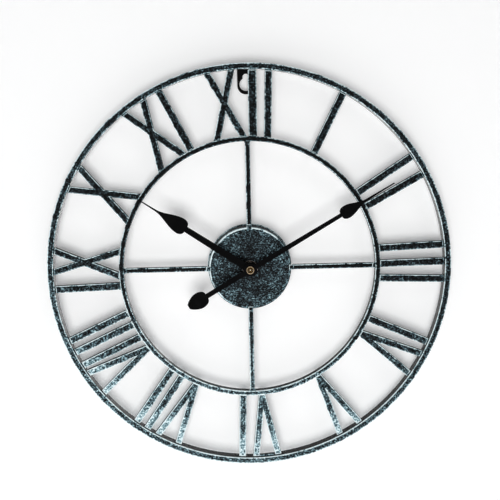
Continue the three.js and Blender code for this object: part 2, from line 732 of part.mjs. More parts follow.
// Setting knob at the back, pressed on the motion wheel's arbor.
const KNOB_RADIUS = 4;
const knobFront = caseBack + GAP;
const KNOB_THICKNESS = 2.2;
const KNOB_RIDGES = 12;
const knobBack = knobFront + KNOB_THICKNESS;
const knobBody = cut(
  slab(toothed(KNOB_RIDGES, (2 * KNOB_RADIUS) / KNOB_RIDGES, 0), knobFront, knobBack),
  rod(KNOB_ARBOR_RADIUS + GAP, knobFront - 1, knobBack + 1, 10),
);
add("setting_knob", at(motionAt, knobBody), whitePlastic);

// Minute arbor with the cannon pinion, and the centre wheel that drives it through a slip fit.
const minuteArbor = cut(
  joined(
    rod(MINUTE_ARBOR_RADIUS, nutFront + NUT_DISH_DEPTH, layerBack("centre") + GAP, 16),
    gear("motion", CANNON_TEETH, motionModule, MOTION_ANGLE, true),
  ),
  rod(SECONDS_ARBOR_RADIUS + GAP, nutFront, layerBack("third"), 10),
);
add("minute_arbor", minuteArbor, brass);

const centreWheel = cut(
  gear("centre", CENTRE_TEETH, centreModule, THIRD_ANGLE),
  rod(MINUTE_ARBOR_RADIUS + GAP, layerFront("centre") - 1, layerBack("centre") + 1, 16),
);
add("centre_wheel", centreWheel, whitePlastic);

const thirdWheel = at(thirdAt, joined(
  gear("third", THIRD_TEETH, thirdModule, THIRD_ANGLE + 180),
  gear("centre", PINION_TEETH, centreModule, THIRD_ANGLE + 180, true),
  rod(PIVOT_RADIUS, roomFront + GAP, arborEnd, 8),
));
add("third_wheel", thirdWheel, whitePlastic);

const secondsWheel = joined(
  gear("seconds", SECONDS_TEETH, secondsModule, INTERMEDIATE_ANGLE),
  gear("third", PINION_TEETH, thirdModule, THIRD_ANGLE, true),
  rod(SECONDS_ARBOR_RADIUS, nutFront + NUT_DISH_DEPTH + GAP, arborEnd, 8),
);
add("seconds_wheel", secondsWheel, whitePlastic);

// The train plate carries the front pivots of the intermediate wheel and the rotor.
const PLATE = { left: rotorAt.x - 3.4, right: -4.5, low: -9.6, high: 16.5, thickness: 0.5 };
function trainPlate() {
  const front = layerFront("plate");
  const back = front + PLATE.thickness;
  const shape = new THREE.Shape([
    new THREE.Vector2(PLATE.left, PLATE.low),
    new THREE.Vector2(PLATE.right, PLATE.low),
    new THREE.Vector2(PLATE.right, PLATE.high),
    new THREE.Vector2(PLATE.left, PLATE.high),
  ]);
  shape.holes.push(
    new THREE.Path().absarc(motionAt.x, motionAt.y, KNOB_ARBOR_RADIUS + GAP, 0, TURN, true),
  );
  const legs = [PLATE.low, PLATE.high].map((z) =>
    rod(POST_RADIUS, roomFront + GAP, back, 10)
      .translate(PLATE.left + POST_RADIUS, 0, z - Math.sign(z) * POST_RADIUS));
  return joined(slab(shape, front, back, 4), ...legs);
}
add("train_plate", trainPlate(), blackPlastic);

const pivotStart = layerFront("plate") + PLATE.thickness + GAP;
const intermediateWheel = at(intermediateAt, joined(
  gear("intermediate", INTERMEDIATE_TEETH, rotorModule, INTERMEDIATE_ANGLE),
  gear("seconds", PINION_TEETH, secondsModule, INTERMEDIATE_ANGLE + 180, true),
  rod(PIVOT_RADIUS, pivotStart, arborEnd, 8),
));
add("intermediate_wheel", intermediateWheel, whitePlastic);

// ---------- Motor ----------
const MAGNET_RADIUS = 1.7;
const MAGNET_THICKNESS = 1.4;
const magnetFront = layerFront("seconds") - 0.2;
const rotor = at(rotorAt, joined(
  gear("intermediate", PINION_TEETH, rotorModule, INTERMEDIATE_ANGLE + 180, true),
  rod(MAGNET_RADIUS, magnetFront, magnetFront + MAGNET_THICKNESS, 16),
  rod(PIVOT_RADIUS, pivotStart, arborEnd, 8),
));
add("rotor", rotor, steel);

// The stator is a flat iron loop: the coil is wound on its left leg, and the rotor turns in
// the hole in its right leg.
const STATOR_THICKNESS = 0.8;
const STATOR_LOW = -9.8;
const STATOR_HIGH = 15.8;
const YOKE_WIDTH = 2.2;
const coilX = rotorAt.x - STATOR_HALF_WIDTH - STATOR_WINDOW - CORE_HALF_WIDTH;
const statorFront = layerFront("seconds") + 0.1;
function statorLoop() {
  const left = coilX - CORE_HALF_WIDTH;
  const right = rotorAt.x + STATOR_HALF_WIDTH;
  const corners = (x0, x1, z0, z1) =>
    [[x0, z0], [x1, z0], [x1, z1], [x0, z1]].map(([x, z]) => new THREE.Vector2(x, z));
  const shape = new THREE.Shape(corners(left, right, STATOR_LOW, STATOR_HIGH));
  const window = corners(
    coilX + CORE_HALF_WIDTH, rotorAt.x - STATOR_HALF_WIDTH,
    STATOR_LOW + YOKE_WIDTH, STATOR_HIGH - YOKE_WIDTH,
  );
  shape.holes.push(new THREE.Path(window));
  shape.holes.push(
    new THREE.Path().absarc(rotorAt.x, rotorAt.y, MAGNET_RADIUS + 2 * GAP, 0, TURN, true),
  );
  return slab(shape, statorFront, statorFront + STATOR_THICKNESS, 8);
}
add("stator", statorLoop(), steel);

function driveCoil() {
  const low = STATOR_LOW + YOKE_WIDTH + GAP;
  const high = STATOR_HIGH - YOKE_WIDTH - GAP;
  const bore = Math.hypot(CORE_HALF_WIDTH, STATOR_THICKNESS / 2) + GAP;
  return tube(bore, COIL_RADIUS, low, high, 16)
    .rotateX(Math.PI / 2)
    .translate(coilX, statorFront + STATOR_THICKNESS / 2, 0);
}
add("drive_coil", driveCoil(), copper);

// ---------- Circuit ----------
const boardMiddle = new THREE.Vector2((BOARD.left + BOARD.right) / 2, (BOARD.low + BOARD.high) / 2);
const board = box(
  BOARD.right - BOARD.left, BOARD.thickness, BOARD.high - BOARD.low,
  boardMiddle.x, boardFront + BOARD.thickness / 2, boardMiddle.y,
);
add("circuit_board", board, boardGreen);

const CRYSTAL_RADIUS = 1;
const CRYSTAL_LENGTH = 6;
const crystalDepth = boardFront + BOARD.thickness + GAP + CRYSTAL_RADIUS;
const crystal = rod(CRYSTAL_RADIUS, -CRYSTAL_LENGTH / 2, CRYSTAL_LENGTH / 2)
  .rotateX(Math.PI / 2)
  .translate(boardMiddle.x, crystalDepth, boardMiddle.y);
add("quartz_crystal", crystal, steel);

export default clock;
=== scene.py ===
import bmesh
import bpy
import math
import random
from mathutils import Matrix, Quaternion, Vector


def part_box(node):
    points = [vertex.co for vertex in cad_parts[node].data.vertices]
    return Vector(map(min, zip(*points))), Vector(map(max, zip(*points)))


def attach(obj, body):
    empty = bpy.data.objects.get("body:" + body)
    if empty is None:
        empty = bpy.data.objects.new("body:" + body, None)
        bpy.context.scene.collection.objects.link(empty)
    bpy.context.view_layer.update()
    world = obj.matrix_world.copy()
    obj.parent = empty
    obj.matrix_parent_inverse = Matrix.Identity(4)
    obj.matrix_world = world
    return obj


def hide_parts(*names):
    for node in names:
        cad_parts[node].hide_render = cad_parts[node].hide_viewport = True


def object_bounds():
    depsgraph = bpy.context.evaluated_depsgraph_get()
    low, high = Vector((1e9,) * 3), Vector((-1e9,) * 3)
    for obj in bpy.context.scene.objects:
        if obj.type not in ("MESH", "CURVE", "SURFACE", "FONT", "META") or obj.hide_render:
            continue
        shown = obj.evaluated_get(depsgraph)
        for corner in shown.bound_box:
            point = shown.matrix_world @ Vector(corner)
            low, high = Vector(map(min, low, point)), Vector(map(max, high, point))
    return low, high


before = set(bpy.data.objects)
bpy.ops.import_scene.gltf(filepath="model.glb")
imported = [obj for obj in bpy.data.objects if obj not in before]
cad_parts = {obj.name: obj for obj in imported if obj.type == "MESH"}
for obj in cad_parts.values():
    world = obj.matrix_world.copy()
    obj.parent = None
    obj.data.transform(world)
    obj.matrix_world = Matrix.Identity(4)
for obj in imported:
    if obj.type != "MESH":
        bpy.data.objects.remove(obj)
cad_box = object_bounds()

# ---------- Camera ----------
# A little above the middle of the dial, nearly square to the wall, and leaning by a degree.
MM = 0.001
ring_low, ring_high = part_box("outer_ring")
dial = Vector((0, 0, (ring_low.z + ring_high.z) / 2))
dial_front = ring_low.y

AIM_RIGHT, AIM_UP = 0.4 * MM, 17.95 * MM
AZIMUTH, ELEVATION, ROLL = (math.radians(a) for a in (-1.06, 6.61, -1.22))
CAMERA_DISTANCE = 0.884
aim = dial + Vector((AIM_RIGHT, dial_front, AIM_UP))
away = Vector((
    math.sin(AZIMUTH) * math.cos(ELEVATION),
    -math.cos(AZIMUTH) * math.cos(ELEVATION),
    math.sin(ELEVATION),
))
camera_data = bpy.data.cameras.new("camera")
camera_data.lens = 64.5
camera_data.sensor_width = 36
camera = bpy.data.objects.new("camera", camera_data)
bpy.context.collection.objects.link(camera)
camera.rotation_mode = "QUATERNION"
camera.location = aim + away * CAMERA_DISTANCE
camera.rotation_quaternion = (-away).to_track_quat("-Z", "Y") @ Quaternion((0, 0, 1), ROLL)
bpy.context.scene.camera = camera

# ---------- Studio ----------
# A white wall that shows only its front, a pale floor well below the clock, one soft light
# in front a little below the dial, a weak one high on the right, and one behind the wall.
bpy.context.scene.view_settings.view_transform = "Standard"


def new_material(name):
    """A material with its node tree's nodes, its links and its Principled shader."""
    material = bpy.data.materials.new(name)
    material.use_nodes = True
    tree = material.node_tree
    return material, tree.nodes, tree.links, tree.nodes["Principled BSDF"]


def stage_plane(name, size, material):
    """A square sheet that belongs to the studio and not to the clock."""
    bm = bmesh.new()
    bmesh.ops.create_grid(bm, x_segments=8, y_segments=8, size=size / 2)
    mesh = bpy.data.meshes.new(name)
    bm.to_mesh(mesh)
    bm.free()
    mesh.materials.append(material)
    plane = bpy.data.objects.new(name, mesh)
    bpy.context.collection.objects.link(plane)
    return plane


plaster, nodes, links, shader = new_material("white_wall_paint")
shader.inputs["Base Color"].default_value = (0.9, 0.9, 0.9, 1)
shader.inputs["Roughness"].default_value = 0.9
shader.inputs["Specular IOR Level"].default_value = 0.1
shader.inputs["Emission Color"].default_value = (1, 1, 1, 1)
shader.inputs["Emission Strength"].default_value = 0.18

# Seen from behind, the wall lets the view through, so the back of the clock shows.
seen_from = nodes.new("ShaderNodeNewGeometry")
clear = nodes.new("ShaderNodeBsdfTransparent")
front_only = nodes.new("ShaderNodeMixShader")
links.new(seen_from.outputs["Backfacing"], front_only.inputs["Fac"])
links.new(shader.outputs["BSDF"], front_only.inputs[1])
links.new(clear.outputs["BSDF"], front_only.inputs[2])
links.new(front_only.outputs["Shader"], nodes["Material Output"].inputs["Surface"])
WALL_SIZE, FLOOR_SIZE, FLOOR_DROP = 3.4, 6, 1.25
wall = stage_plane("wall", WALL_SIZE, plaster)
wall.rotation_euler.x = math.radians(90)
wall.location = (0, cad_box[1].y + 0.3 * MM, dial.z)
wall.visible_shadow = False

floor_paint, nodes, links, shader = new_material("pale_floor")
shader.inputs["Base Color"].default_value = (0.74, 0.74, 0.75, 1)
shader.inputs["Roughness"].default_value = 0.7
shader.inputs["Emission Color"].default_value = (1, 1, 1, 1)
shader.inputs["Emission Strength"].default_value = 0.4
floor = stage_plane("floor", FLOOR_SIZE, floor_paint)
floor.location.z = cad_box[0].z - FLOOR_DROP


def soft_light(name, size, power, place):
    """A round area light at a place from the dial's centre, turned to it."""
    data = bpy.data.lights.new(name, "AREA")
    data.shape = "DISK"
    data.size = size
    data.energy = power
    light = bpy.data.objects.new(name, data)
    bpy.context.collection.objects.link(light)
    light.location = dial + Vector(place)
    light.rotation_mode = "QUATERNION"
    light.rotation_quaternion = (-Vector(place)).to_track_quat("-Z", "Y")


soft_light("key_light", 1.3, 39, (-0.2, -2.4, -0.45))
soft_light("fill_light", 1.6, 8, (1.6, -2.6, 2.4))
soft_light("back_light", 1.8, 150, (0.3, 2.9, -0.8))

# The world lights the clock faintly, but looks pale grey where the camera sees it.
world = bpy.data.worlds.new("studio")
bpy.context.scene.world = world
world.use_nodes = True
nodes, links = world.node_tree.nodes, world.node_tree.links
faint = nodes["Background"]
faint.inputs["Color"].default_value = (0.95, 0.98, 1, 1)
faint.inputs["Strength"].default_value = 0.12
seen = nodes.new("ShaderNodeBackground")
seen.inputs["Color"].default_value = (0.86, 0.87, 0.88, 1)
seen.inputs["Strength"].default_value = 0.8
path = nodes.new("ShaderNodeLightPath")
either = nodes.new("ShaderNodeMixShader")
links.new(path.outputs["Is Camera Ray"], either.inputs["Fac"])
links.new(faint.outputs["Background"], either.inputs[1])
links.new(seen.outputs["Background"], either.inputs[2])
links.new(either.outputs["Shader"], nodes["World Output"].inputs["Surface"])

# ---------- Rings ----------
# Two hoops rolled from U-channel of 1 mm steel, open to the wall. They are sprayed black and
# dry-brushed with silver, which catches on every edge. Edges that face up and left get a painted
# highlight, and the silver is painted lighter towards the bottom as a painted highlight for the
# light from below.


def link_value(links, source, socket):
    """Sets a socket to a number, or joins it to a node's output."""
    if isinstance(source, (int, float)):
        socket.default_value = source
    else:
        links.new(source, socket)


def maths(nodes, links, operation, first, second=0):
    node = nodes.new("ShaderNodeMath")
    node.operation = operation
    link_value(links, first, node.inputs[0])
    link_value(links, second, node.inputs[1])
    return node.outputs["Value"]


def ranged(nodes, links, value, low, high, to_low=0.0, to_high=1.0):
    """Maps the values from low to high onto to_low to to_high, with soft ends."""
    node = nodes.new("ShaderNodeMapRange")
    node.interpolation_type = "SMOOTHSTEP"
    links.new(value, node.inputs["Value"])
    node.inputs["From Min"].default_value = low
    node.inputs["From Max"].default_value = high
    node.inputs["To Min"].default_value = to_low
    node.inputs["To Max"].default_value = to_high
    return node.outputs["Result"]


def object_noise(nodes, links, scale, detail=2.0, roughness=0.5, stretch=(1, 1, 1)):
    """Noise on the object's own coordinates; scale is features per metre."""
    where = nodes.new("ShaderNodeTexCoord")
    mapping = nodes.new("ShaderNodeMapping")
    mapping.inputs["Scale"].default_value = stretch
    noise = nodes.new("ShaderNodeTexNoise")
    noise.inputs["Scale"].default_value = scale
    noise.inputs["Detail"].default_value = detail
    noise.inputs["Roughness"].default_value = roughness
    links.new(where.outputs["Object"], mapping.inputs["Vector"])
    links.new(mapping.outputs["Vector"], noise.inputs["Vector"])
    return noise.outputs["Fac"]


def mixed(nodes, links, factor, first, second):
    """A colour between two colours, or between two outputs."""
    mix = nodes.new("ShaderNodeMix")
    mix.data_type = "RGBA"
    links.new(factor, mix.inputs["Factor"])
    colour_a, colour_b, result = mix.inputs[6], mix.inputs[7], mix.outputs[2]
    for socket, colour in ((colour_a, first), (colour_b, second)):
        if isinstance(colour, tuple):
            socket.default_value = (*colour, 1)
        else:
            links.new(colour, socket)
    return result


def bumped(nodes, links, shader, height, distance, strength=0.5):
    bump = nodes.new("ShaderNodeBump")
    bump.inputs["Distance"].default_value = distance
    bump.inputs["Strength"].default_value = strength
    links.new(height, bump.inputs["Height"])
    links.new(bump.outputs["Normal"], shader.inputs["Normal"])


def wear_and_highlight_value(nodes):
    """How much wear the finish shows, from 0 to 1, as each mesh's own attribute says; on the
    cup's rounded edge it also holds a painted highlight.
    """
    wear_and_highlight = nodes.new("ShaderNodeAttribute")
    wear_and_highlight.attribute_name = "wear_and_highlight"
    return wear_and_highlight.outputs["Fac"]


def antique_silver(name, grain, cover, lower_left_highlight, stretch=(1, 1, 1), heart=0.0, ends=0.0):
    """Black paint with silver dry-brushed over it: fine grain on the front, edge wear that is
    made lighter where the edges face up and left (a painted highlight), less silver on faces
    turned from the front (dry-brush that misses the flanks, and painted shade on the channels'
    inner walls), and more and more silver towards the lower left (a painted highlight for the
    light from below). cover is how much silver there is all over, lower_left_highlight how much
    more painted highlight at the bottom, heart how much less about the dial's centre, and ends
    how much more at the low outer ends."""
    material, nodes, links, shader = new_material(name)
    where = nodes.new("ShaderNodeTexCoord")
    facing = nodes.new("ShaderNodeSeparateXYZ")
    links.new(where.outputs["Normal"], facing.inputs["Vector"])
    place = nodes.new("ShaderNodeSeparateXYZ")
    links.new(where.outputs["Object"], place.inputs["Vector"])
    across = place.outputs["X"]
    height = maths(nodes, links, "SUBTRACT", place.outputs["Z"], dial.z)
    reach = maths(nodes, links, "SQRT", maths(
        nodes, links, "ADD", maths(nodes, links, "MULTIPLY", across, across),
        maths(nodes, links, "MULTIPLY", height, height)))

    specks = object_noise(nodes, links, grain, 3, 0.7, stretch)
    mottles = object_noise(nodes, links, 150, 3, 0.6)
    brushed = object_noise(nodes, links, 120, 3, 0.65)
    slant = maths(nodes, links, "ADD", height, maths(nodes, links, "MULTIPLY", across, 0.18))
    # Edges that face up and left are made lighter: a painted highlight on top of the edge wear.
    upper_left = maths(nodes, links, "SUBTRACT", facing.outputs["Z"], facing.outputs["X"])
    edge_lightening = maths(nodes, links, "MULTIPLY", ranged(nodes, links, upper_left, -0.5, 0.4, 0.4, 1),
                   ranged(nodes, links, brushed, 0.36, 0.52, 0.4, 1))
    layers = [
        ranged(nodes, links, mottles, 0.3, 0.7, cover - 0.68, cover - 0.48),
        # Lighter and lighter towards the lower left: a painted highlight for the light from
        # below.
        ranged(nodes, links, slant, 50 * MM, -170 * MM, 0, lower_left_highlight),
        # Faces turned from the front get less silver: dry-brush misses them, and the dark is also
        # painted shade on the channels' inner walls.
        ranged(nodes, links, facing.outputs["Y"], -0.5, -0.15, 0, -0.4),
        maths(nodes, links, "MULTIPLY", wear_and_highlight_value(nodes), edge_lightening),
    ]
    if heart:
        layers.append(ranged(nodes, links, reach, 8 * MM, 34 * MM, -heart, 0))
    if ends:
        layers.append(maths(nodes, links, "MULTIPLY",
                            ranged(nodes, links, reach, 160 * MM, 188 * MM, 0, ends),
                            ranged(nodes, links, slant, -80 * MM, -150 * MM)))
    silver = maths(nodes, links, "MULTIPLY", specks, 2)
    for layer in layers:
        silver = maths(nodes, links, "ADD", silver, layer)

    tones = nodes.new("ShaderNodeValToRGB")
    stops = ((0.26, (0.0006, 0.0008, 0.001)), (0.46, (0.021, 0.028, 0.033)),
             (0.62, (0.066, 0.11, 0.13)), (0.8, (0.25, 0.41, 0.46)), (1, (0.78, 0.89, 0.91)))
    while len(tones.color_ramp.elements) < len(stops):
        tones.color_ramp.elements.new(1)
    for stop, (at, colour) in zip(tones.color_ramp.elements, stops):
        stop.position = at
        stop.color = (*colour, 1)
    links.new(silver, tones.inputs["Fac"])
    links.new(tones.outputs["Color"], shader.inputs["Base Color"])
    links.new(ranged(nodes, links, silver, 0.4, 0.8, 0, 0.3), shader.inputs["Metallic"])
    links.new(ranged(nodes, links, specks, 0.3, 0.7, 0.62, 0.45), shader.inputs["Roughness"])
    shader.inputs["Specular IOR Level"].default_value = 0.06
    bumped(nodes, links, shader, silver, 0.3 * MM)
    return material


# The fourth number of each finish is its painted highlight towards the lower left.
antique_paint = antique_silver("antique_silver_paint", 600, -0.1, 0.17)
inner_paint = antique_silver("inner_silver_paint", 600, -0.32, 0.45)
SHARP = math.radians(30)
SHEET = 1 * MM
OUTER_WIDTH, INNER_WIDTH = 6 * MM, 4.8 * MM
RING_STEPS = 288


def turned(outline, centre, axis, steps):
    """A closed outline of points turned about an axis."""
    bm = bmesh.new()
    verts = [bm.verts.new(point) for point in outline]
    edges = [bm.edges.new((v, verts[i - 1])) for i, v in enumerate(verts)]
    bmesh.ops.spin(bm, geom=verts + edges, cent=centre, axis=axis, angle=2 * math.pi,
                   steps=steps, use_merge=True)
    bmesh.ops.remove_doubles(bm, verts=bm.verts, dist=0.01 * MM)
    bmesh.ops.recalc_face_normals(bm, faces=bm.faces)
    return bm


def spun(outline, steps=RING_STEPS):
    """A closed outline of (radius, depth) pairs turned about the dial's axis."""
    return turned([(radius, depth, dial.z) for radius, depth in outline], dial, (0, 1, 0), steps)


def smooth_areas(faces):
    """The faces in groups that no sharp edge divides."""
    left = dict.fromkeys(faces)
    while left:
        area, ahead = [], [left.popitem()[0]]
        while ahead:
            face = ahead.pop()
            area.append(face)
            for edge in face.edges:
                if len(edge.link_faces) == 2 and edge.calc_face_angle(0) < SHARP:
                    for other in edge.link_faces:
                        if other in left:
                            del left[other]
                            ahead.append(other)
        yield area


def worn_edges(bm, radius, band, segments=3):
    """Rounds the sharp edges and marks them as edge wear, with a band beside them that fades out.
    """
    sharp = [e for e in bm.edges if e.calc_face_angle(0) > SHARP]
    made = bmesh.ops.bevel(bm, geom=sharp, offset=radius, segments=segments, profile=0.5,
                           affect="EDGES", material=-1, clamp_overlap=True)
    wear_and_highlight = bm.verts.layers.float.new("wear_and_highlight")
    for vert in bm.verts:
        vert[wear_and_highlight] = 1
    rounded = set(made["faces"])
    flats = [f for f in bm.faces if f not in rounded]
    for area in list(smooth_areas(flats)):
        inside = set(area)
        border = sum(e.calc_length() for f in area for e in f.edges
                     if not all(other in inside for other in e.link_faces))
        width = 2 * sum(f.calc_area() for f in area) / max(border, MM)
        if width > 2.2 * band:
            bmesh.ops.inset_region(bm, faces=area, thickness=band, use_even_offset=True)
        for face in area:
            for vert in face.verts:
                vert[wear_and_highlight] = 0


def finished(bm, name, material, body, slot, replaced=()):
    """Turns a bmesh into a piece with smooth shading up to its sharp edges."""
    for face in bm.faces:
        face.smooth = True
    mesh = bpy.data.meshes.new(name)
    bm.to_mesh(mesh)
    bm.free()
    mesh.set_sharp_from_angle(angle=math.radians(38))
    mesh.materials.append(material)
    piece = bpy.data.objects.new(name, mesh)
    bpy.context.collection.objects.link(piece)
    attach(piece, body)
    if replaced:
        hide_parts(*replaced)
    return piece


def channel_ring(name, node, width, paint):
    """A hoop of U-channel whose open side is at the back."""
    low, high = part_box(node)
    outside, front, back = high.x, low.y, high.y
    inside = outside - width
    bm = spun([
        (outside, front), (outside, back), (outside - SHEET, back),
        (outside - SHEET, front + SHEET), (inside + SHEET, front + SHEET),
        (inside + SHEET, back), (inside, back), (inside, front),
    ])
    worn_edges(bm, 0.6 * MM, 0.7 * MM)
    finished(bm, name, paint, "frame", "antique_steel", [node])


channel_ring("outer_hoop", "outer_ring", OUTER_WIDTH, antique_paint)
channel_ring("inner_hoop", "inner_ring", INNER_WIDTH, inner_paint)

# ---------- Numerals ----------
# Each stroke is a shallow channel pressed from sheet, open to the wall, that stands between
# the hoops a little behind their front. They are brushed with the hoops.


def copied(node):
    """A CAD node's mesh, merged, with its flat faces whole again."""
    bm = bmesh.new()
    bm.from_mesh(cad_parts[node].data)
    bmesh.ops.remove_doubles(bm, verts=bm.verts, dist=0.001 * MM)
    bmesh.ops.dissolve_limit(bm, angle_limit=math.radians(1), verts=bm.verts, edges=bm.edges)
    return bm


def stroke_ends(bm):
    """The ends of a numeral's strokes, as the front corners of each, foot ends first."""
    front = min(v.co.y for v in bm.verts)
    corners = [v.co.copy() for v in bm.verts if v.co.y < front + 0.1 * MM]
    reach = [(c - dial).xz.length for c in corners]
    ends = []
    for radius in (min(reach), max(reach)):
        there = [c for c, r in zip(corners, reach) if abs(r - radius) < 0.3 * MM]
        there.sort(key=lambda c: math.atan2((c - dial).x, (c - dial).z))
        ends += [(there[i], there[i + 1]) for i in range(0, len(there) - 1, 2)]
    return ends


# Its fourth number is its painted highlight towards the lower left.
numeral_paint = antique_silver("numeral_paint", 640, -0.14, 0.25, ends=0.26)
numeral_ends = []
for node in sorted(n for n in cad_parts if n.startswith("numeral_")):
    bm = copied(node)
    numeral_ends += stroke_ends(bm)
    worn_edges(bm, 0.45 * MM, 0.6 * MM)
    finished(bm, node + "_pressing", numeral_paint, "frame", "antique_steel", [node])

# ---------- Welds of the numerals ----------
# A short run of weld joins each stroke's end to its hoop, at the back edge of the end wall.
random.seed(12)
WELD_RADIUS = 0.9 * MM


def weld_bead(bm, start, end):
    """A lumpy bead from one point to another, added to a bmesh."""
    along = end - start
    steps = max(4, round(along.length / WELD_RADIUS))
    turn = along.to_track_quat("Z", "Y").to_matrix().to_4x4()
    circle = bmesh.ops.create_circle(bm, cap_ends=True, segments=10, radius=WELD_RADIUS,
                                     matrix=Matrix.Translation(start) @ turn)
    ring = circle["verts"]
    face = next(f for f in ring[0].link_faces if all(v in f.verts for v in ring))
    middle = start
    for step in range(steps):
        grown = bmesh.ops.extrude_face_region(bm, geom=[face])["geom"]
        face = next(g for g in grown if isinstance(g, bmesh.types.BMFace))
        ahead = start + along * ((step + 1) / steps)
        swell = 1 + random.uniform(-0.22, 0.22)
        for vert in face.verts:
            vert.co = ahead + (vert.co - middle).normalized() * WELD_RADIUS * swell
        middle = ahead


WELD_DEPTH = Vector((0, 1.1 * MM, 0))
WELD_SHIFT = 0.1 * MM
between_rings = (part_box("inner_ring")[1].x + ring_high.x - OUTER_WIDTH) / 2
welds = bmesh.new()
for left, right in numeral_ends:
    outwards = (left + right) / 2 - dial
    outwards.y = 0
    to_hoop = -1 if outwards.length < between_rings else 1
    shift = outwards.normalized() * to_hoop * WELD_SHIFT + WELD_DEPTH
    trim = (right - left) * 0.08
    weld_bead(welds, left + trim + shift, right - trim + shift)
bmesh.ops.recalc_face_normals(welds, faces=welds.faces)
wear_and_highlight = welds.verts.layers.float.new("wear_and_highlight")
for vert in welds.verts:
    vert[wear_and_highlight] = 0.15
finished(welds, "numeral_welds", antique_paint, "frame", "antique_steel")

# ---------- Spokes ----------
# Four solid bars from the cup to the inner hoop, pinched at their ends for the weld.
SIDES = ("top", "right", "bottom", "left")
for side in SIDES:
    bm = copied("spoke_" + side)
    worn_edges(bm, 0.5 * MM, 0.7 * MM)
    finished(bm, "spoke_bar_" + side, inner_paint, "frame", "antique_steel",
             ["spoke_" + side])

# ---------- Weld tabs of the spokes ----------
# Small sheet tabs that lap the joints: a square one on the cup's edge, and one that widens
# towards the inner hoop like a fish's tail.
CUP_BEAD = 1.3 * MM
cup_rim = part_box("centre_cup")[1].x
cup_edge = cup_rim - CUP_BEAD
spoke_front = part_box("spoke_top")[0].y
inner_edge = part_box("inner_ring")[1].x - INNER_WIDTH


def spoke_tab(name, degrees, outline, front, thickness):
    """A bevelled tab whose outline is (across, radius) pairs, turned to its spoke."""
    bm = bmesh.new()
    verts = [bm.verts.new((x, front, dial.z + radius)) for x, radius in outline]
    face = bm.faces.new(verts)
    grown = bmesh.ops.extrude_face_region(bm, geom=[face])["geom"]
    bmesh.ops.translate(bm, verts=[g for g in grown if isinstance(g, bmesh.types.BMVert)],
                        vec=(0, thickness, 0))
    bmesh.ops.rotate(bm, verts=bm.verts, cent=dial,
                     matrix=Matrix.Rotation(math.radians(degrees), 3, "Y"))
    bmesh.ops.recalc_face_normals(bm, faces=bm.faces)
    worn_edges(bm, 0.28 * MM, 0.5 * MM, 2)
    finished(bm, name, antique_paint, "frame", "antique_steel")


for index, side in enumerate(SIDES):
    half = 2.4 * MM
    low, high = cup_edge - 2.2 * MM, cup_edge + 2.4 * MM
    spoke_tab("cup_tab_" + side, 90 * index,
              [(-half, low), (half, low), (half, high), (-half, high)],
              dial_front - 0.45 * MM, 1.4 * MM)
    high, low = inner_edge + 0.6 * MM, inner_edge - 3.2 * MM
    narrow, wide = 1.9 * MM, 3.6 * MM
    spoke_tab("hoop_tab_" + side, 90 * index,
              [(-narrow, low), (narrow, low), (wide, high), (-wide, high)],
              spoke_front - 0.25 * MM, 1.6 * MM)

# ---------- Cup ----------
# A round-edged dish spun from 1 mm steel, with a beaded rim that rests on the wall. Its face
# is stippled with silver, and its rounded edge is bared nearly white, more so towards the upper
# left, where the extra white is a painted highlight.
cup_paint = antique_silver("stippled_cup_paint", 760, 0.02, 0, (0.8, 1, 1.2), heart=0.1)
BUSH_HOLE = 4.3 * MM
CUP_EDGE = 1.6 * MM
BEAD_HEIGHT = 1.6 * MM
cup_inside = cup_edge - SHEET
bm = spun([
    (BUSH_HOLE, dial_front), (cup_edge - CUP_EDGE - 0.7 * MM, dial_front),
    (cup_edge, dial_front), (cup_edge, -BEAD_HEIGHT),
    (cup_rim, -BEAD_HEIGHT), (cup_rim, 0), (cup_inside, 0),
    (cup_inside, dial_front + SHEET), (BUSH_HOLE, dial_front + SHEET),
], 192)
outer_edge = [e for e in bm.edges
              if all((v.co - dial).xz.length > cup_edge - 0.01 * MM
                     and v.co.y < dial_front + 0.01 * MM for v in e.verts)]
bmesh.ops.bevel(bm, geom=outer_edge, offset=CUP_EDGE, segments=6, profile=0.5,
                affect="EDGES", material=-1)
worn_edges(bm, 0.4 * MM, 1.1 * MM)

# The bead shows wear all round, and so does the front's rounded edge, which is made lighter
# towards the upper left as a painted highlight.
wear_and_highlight = bm.verts.layers.float["wear_and_highlight"]
for vert in bm.verts:
    reach = vert.co - dial
    radius = reach.xz.length
    # The rounded edge is lighter towards the upper left: a painted highlight.
    upper = min(max(0.6 + 0.9 * (reach.z - reach.x) / radius, 0.15), 1)
    if radius > cup_edge + 0.2 * MM:
        vert[wear_and_highlight] = 0.6
    elif (cup_edge - 1.05 * CUP_EDGE < radius < cup_edge - 0.3 * CUP_EDGE
          and vert.co.y < -20 * MM):
        vert[wear_and_highlight] = 1.3 * upper
    elif radius > cup_edge - 0.4 * CUP_EDGE:
        vert[wear_and_highlight] = 0.2
finished(bm, "cup", cup_paint, "frame", "antique_steel", ["centre_cup"])

# ---------- Hanger ----------
# A stamped plate with a keyhole, painted black and welded across the back of the outer hoop.


def satin_black(name, roughness=0.42):
    """Sprayed black enamel with a faint orange peel and a few dusty marks."""
    material, nodes, links, shader = new_material(name)
    peel = object_noise(nodes, links, 900, 2, 0.5)
    dust = object_noise(nodes, links, 60, 4, 0.65)
    tone = mixed(nodes, links, ranged(nodes, links, dust, 0.45, 0.75),
                 (0.001, 0.001, 0.0012), (0.004, 0.004, 0.0045))
    links.new(tone, shader.inputs["Base Color"])
    links.new(ranged(nodes, links, dust, 0.3, 0.7, roughness - 0.07, roughness + 0.1),
              shader.inputs["Roughness"])
    shader.inputs["Specular IOR Level"].default_value = 0.03
    bumped(nodes, links, shader, peel, 0.06 * MM, 0.35)
    return material


